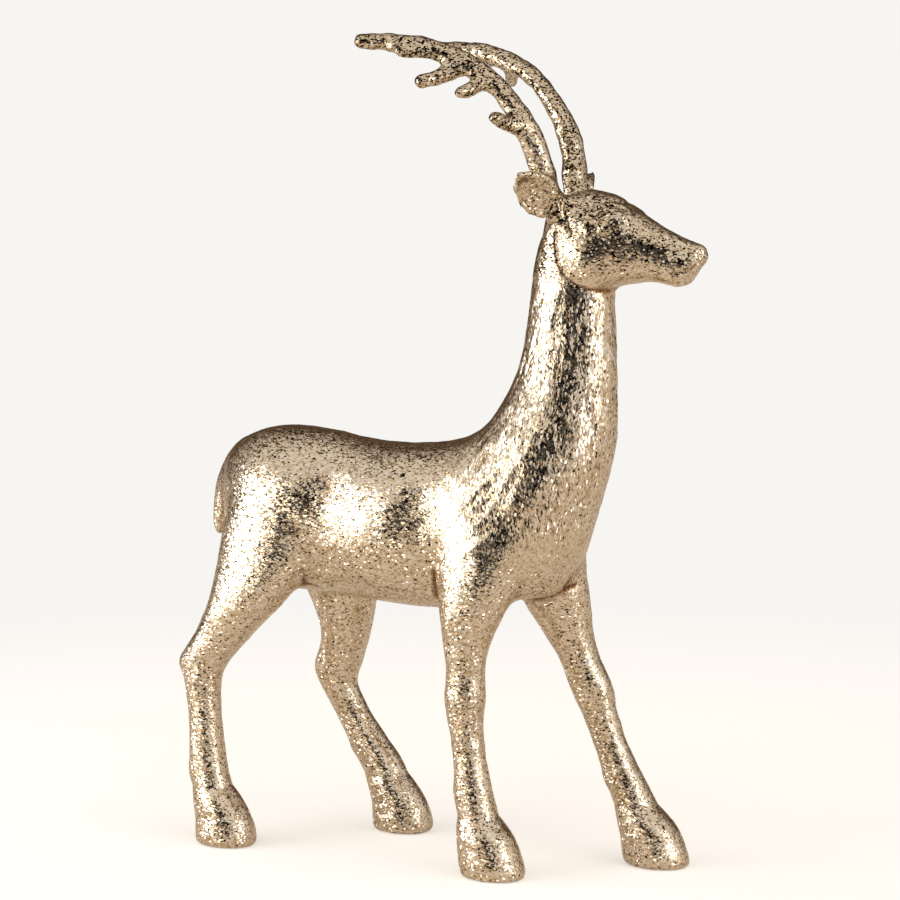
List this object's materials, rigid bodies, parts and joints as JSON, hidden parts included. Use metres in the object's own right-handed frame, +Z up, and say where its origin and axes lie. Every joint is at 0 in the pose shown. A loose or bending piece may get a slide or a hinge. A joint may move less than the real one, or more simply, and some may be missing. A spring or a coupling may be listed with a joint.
{
  "type": "glitter deer figurine",
  "caption": "Standing deer figurine with swept-back antlers and a striding pose, coated in champagne-gold glitter.",
  "frame": {"origin": "on the floor, below the middle of the whole figure's plan", "axes": "+X is the way the deer faces, +Y is its left side, +Z is up"},
  "size_m": [0.3106, 0.1102, 0.4547],
  "materials": {
    "glitter": "champagne-gold glitter over moulded plastic"
  },
  "bodies": {
    "root": {"deer": "glitter"}
  },
  "joints": []
}
